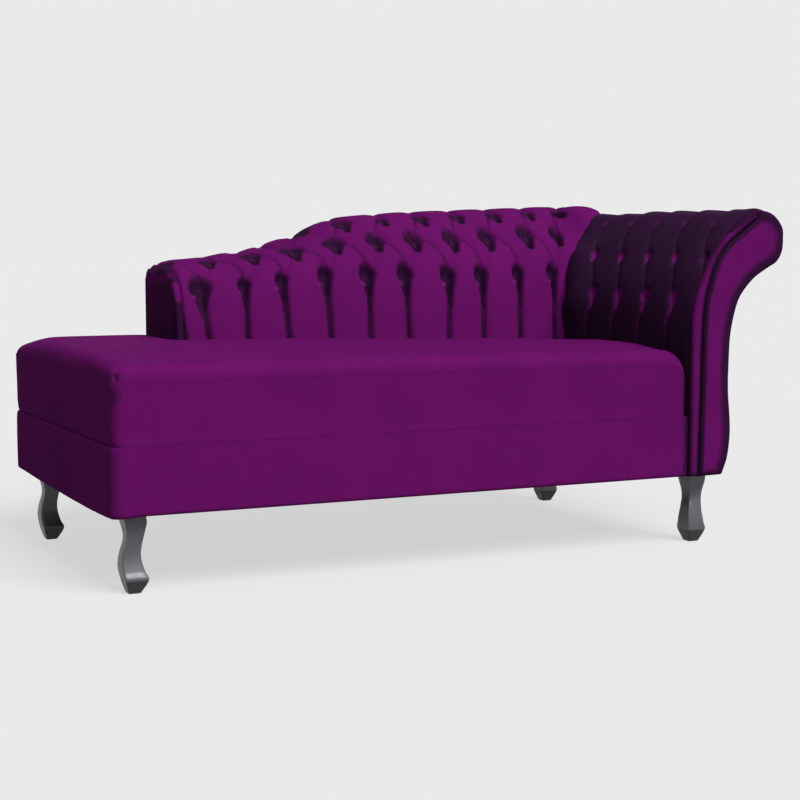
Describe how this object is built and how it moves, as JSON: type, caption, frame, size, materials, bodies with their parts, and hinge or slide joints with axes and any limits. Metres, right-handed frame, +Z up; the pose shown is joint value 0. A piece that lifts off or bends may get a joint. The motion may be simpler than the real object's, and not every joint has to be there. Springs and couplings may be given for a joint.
{
  "type": "fainting couch",
  "caption": "Upholstered couch with a deep-buttoned back that falls in steps towards the open end, one buttoned scroll arm and short cabriole legs.",
  "frame": {"origin": "centre of the overall box at floor level", "axes": "+X along the seat towards the scroll arm, -Y towards the front of the seat, +Z up"},
  "size_m": [1.588, 0.819, 0.7923],
  "materials": {
    "velvet": "deep purple short-pile velvet, satin sheen",
    "leg_paint": "shaped wood lacquered in satin silver grey",
    "bolt_steel": "zinc-plated",
    "pine": "planed, unfinished",
    "plywood": "sanded plywood",
    "hardboard": "thin hardboard",
    "webbing": "elastic webbing",
    "lining_cloth": "black non-woven cloth"
  },
  "bodies": {
    "root": {"front_rail": "pine", "rear_rail": "pine", "left_rail": "pine", "right_rail": "pine", "seat_rear_rail": "pine", "arm_top_rail": "pine", "arm_seat_rail": "pine", "cross_rail_1": "pine", "cross_rail_2": "pine", "cross_rail_3": "pine", "corner_block_front_left": "pine", "corner_block_rear_left": "pine", "corner_block_front_right": "pine", "corner_block_rear_right": "pine", "leg_front_left": "leg_paint", "leg_bolt_front_left": "bolt_steel", "leg_rear_left": "leg_paint", "leg_bolt_rear_left": "bolt_steel", "leg_front_right": "leg_paint", "leg_bolt_front_right": "bolt_steel", "leg_rear_right": "leg_paint", "leg_bolt_rear_right": "bolt_steel", "dust_cover": "lining_cloth", "webbing_strap_1": "webbing", "webbing_strap_2": "webbing", "webbing_strap_3": "webbing", "webbing_strap_4": "webbing", "webbing_strap_5": "webbing", "webbing_strap_6": "webbing", "webbing_strap_7": "webbing", "webbing_strap_8": "webbing", "back_rib_1": "plywood", "back_rib_2": "plywood", "back_rib_3": "plywood", "back_rib_4": "plywood", "back_rib_5": "plywood", "back_crest_board": "plywood", "arm_board_front": "plywood", "arm_board_rear": "plywood", "back_lining": "hardboard", "arm_lining": "hardboard", "seat_pad": "velvet", "band_front": "velvet", "band_left": "velvet", "band_rear": "velvet", "back_pad": "velvet", "back_end_cover": "velvet", "outside_back": "velvet", "arm_pad": "velvet", "arm_outer_cover": "velvet", "arm_facing": "velvet", "arm_border": "velvet"}
  },
  "joints": []
}
